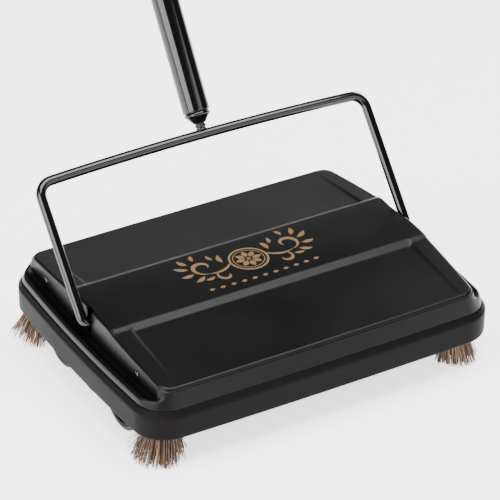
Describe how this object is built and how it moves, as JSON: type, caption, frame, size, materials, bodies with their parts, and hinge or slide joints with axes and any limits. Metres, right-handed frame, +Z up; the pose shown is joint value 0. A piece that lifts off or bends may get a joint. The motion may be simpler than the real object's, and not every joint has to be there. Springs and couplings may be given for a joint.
{
  "type": "carpet sweeper",
  "caption": "Push-along carpet sweeper: low rectangular body with corner brushes, wheel-driven brush roller, drop-down dust pans, folding wire bail and long tube handle.",
  "frame": {"origin": "on the floor, in the middle of the whole machine's footprint with its handle leaning back; the body's own centre is 0.2238 m towards -Y from it", "axes": "+X across the cleaning path to the right, seen from the front; +Y from the front towards the user's handle; +Z up"},
  "size_m": [0.3174, 0.6872, 0.9042],
  "materials": {
    "base_plastic": "moulded, fine satin grain",
    "bumper_vinyl": "soft vinyl, satin",
    "black_enamel": "satin black enamel on pressed steel",
    "gloss_black": "gloss black enamel on steel",
    "black_plastic": "moulded, satin",
    "pan_plastic": "moulded, satin",
    "natural_bristle": "natural bristle",
    "roller_wood": "turned and stained",
    "bright_steel": "zinc plated",
    "nylon": "natural nylon",
    "tyre_rubber": "moulded rubber",
    "grip_vinyl": "dipped vinyl"
  },
  "bodies": {
    "chassis": {"base_frame": "base_plastic", "bumper": "bumper_vinyl", "top_cover": "black_enamel", "cover_screws": "gloss_black", "brush_cup_fl": "black_plastic", "brush_cup_fr": "black_plastic", "brush_cup_rl": "black_plastic", "brush_cup_rr": "black_plastic", "brush_tuft_fl": "natural_bristle", "brush_tuft_fr": "natural_bristle", "brush_tuft_rl": "natural_bristle", "brush_tuft_rr": "natural_bristle", "brush_screws": "bright_steel", "roller_bushes": "nylon", "wheel_axles": "bright_steel", "pan_rod_front": "bright_steel", "pan_rod_rear": "bright_steel", "bail_bushes": "black_plastic"},
    "roller": {"roller_shaft": "bright_steel", "roller_core": "roller_wood", "roller_end_caps": "black_plastic", "roller_bristles": "natural_bristle", "drive_drum_left": "black_plastic", "drive_drum_right": "black_plastic"},
    "bail_and_handle": {"bail": "gloss_black", "bail_push_nuts": "bright_steel", "handle_stud": "bright_steel", "tube_socket": "gloss_black", "tube_lower": "gloss_black", "tube_joiner_lower": "black_plastic", "tube_middle": "gloss_black", "tube_joiner_upper": "black_plastic", "tube_upper": "gloss_black", "grip": "grip_vinyl", "hang_cap": "grip_vinyl"},
    "pan_front": {"dust_pan_front": "pan_plastic", "pan_springs_front": "bright_steel"},
    "pan_rear": {"dust_pan_rear": "pan_plastic", "pan_springs_rear": "bright_steel"},
    "wheel_fl_body": {"wheel_fl": "base_plastic", "tyre_fl": "tyre_rubber"},
    "wheel_fr_body": {"wheel_fr": "base_plastic", "tyre_fr": "tyre_rubber"},
    "wheel_rl_body": {"wheel_rl": "base_plastic", "tyre_rl": "tyre_rubber"},
    "wheel_rr_body": {"wheel_rr": "base_plastic", "tyre_rr": "tyre_rubber"}
  },
  "joints": [
    {"name": "bail_fold", "type": "hinge", "parent": "chassis", "child": "bail_and_handle", "pos_m": [0, -0.2218, 0.0654], "axis": [1, 0, 0], "range_deg": [-46, 126]},
    {"name": "roller_spin", "type": "hinge", "parent": "chassis", "child": "roller", "pos_m": [0, -0.2218, 0.0285], "axis": [1, 0, 0], "continuous": true},
    {"name": "wheel_fl_spin", "type": "hinge", "parent": "chassis", "child": "wheel_fl_body", "pos_m": [-0.13825, -0.27129, 0.026], "axis": [1, 0, 0], "continuous": true},
    {"name": "wheel_fr_spin", "type": "hinge", "parent": "chassis", "child": "wheel_fr_body", "pos_m": [0.13825, -0.27129, 0.026], "axis": [1, 0, 0], "continuous": true},
    {"name": "wheel_rl_spin", "type": "hinge", "parent": "chassis", "child": "wheel_rl_body", "pos_m": [-0.13825, -0.17231, 0.026], "axis": [1, 0, 0], "continuous": true},
    {"name": "wheel_rr_spin", "type": "hinge", "parent": "chassis", "child": "wheel_rr_body", "pos_m": [0.13825, -0.17231, 0.026], "axis": [1, 0, 0], "continuous": true},
    {"name": "pan_front_drop", "type": "hinge", "parent": "chassis", "child": "pan_front", "pos_m": [0, -0.3293, 0.031], "axis": [1, 0, 0], "range_deg": [-70, 0], "stiffness_Nm_per_rad": 0.06, "springref_deg": 68.75},
    {"name": "pan_rear_drop", "type": "hinge", "parent": "chassis", "child": "pan_rear", "pos_m": [0, -0.1143, 0.031], "axis": [1, 0, 0], "range_deg": [0, 70], "stiffness_Nm_per_rad": 0.06, "springref_deg": -68.75}
  ],
  "couplings": [
    {"joint": "wheel_fl_spin", "follows": "roller_spin", "ratio": -0.89423},
    {"joint": "wheel_fr_spin", "follows": "roller_spin", "ratio": -0.89423},
    {"joint": "wheel_rl_spin", "follows": "roller_spin", "ratio": -0.89423},
    {"joint": "wheel_rr_spin", "follows": "roller_spin", "ratio": -0.89423}
  ]
}
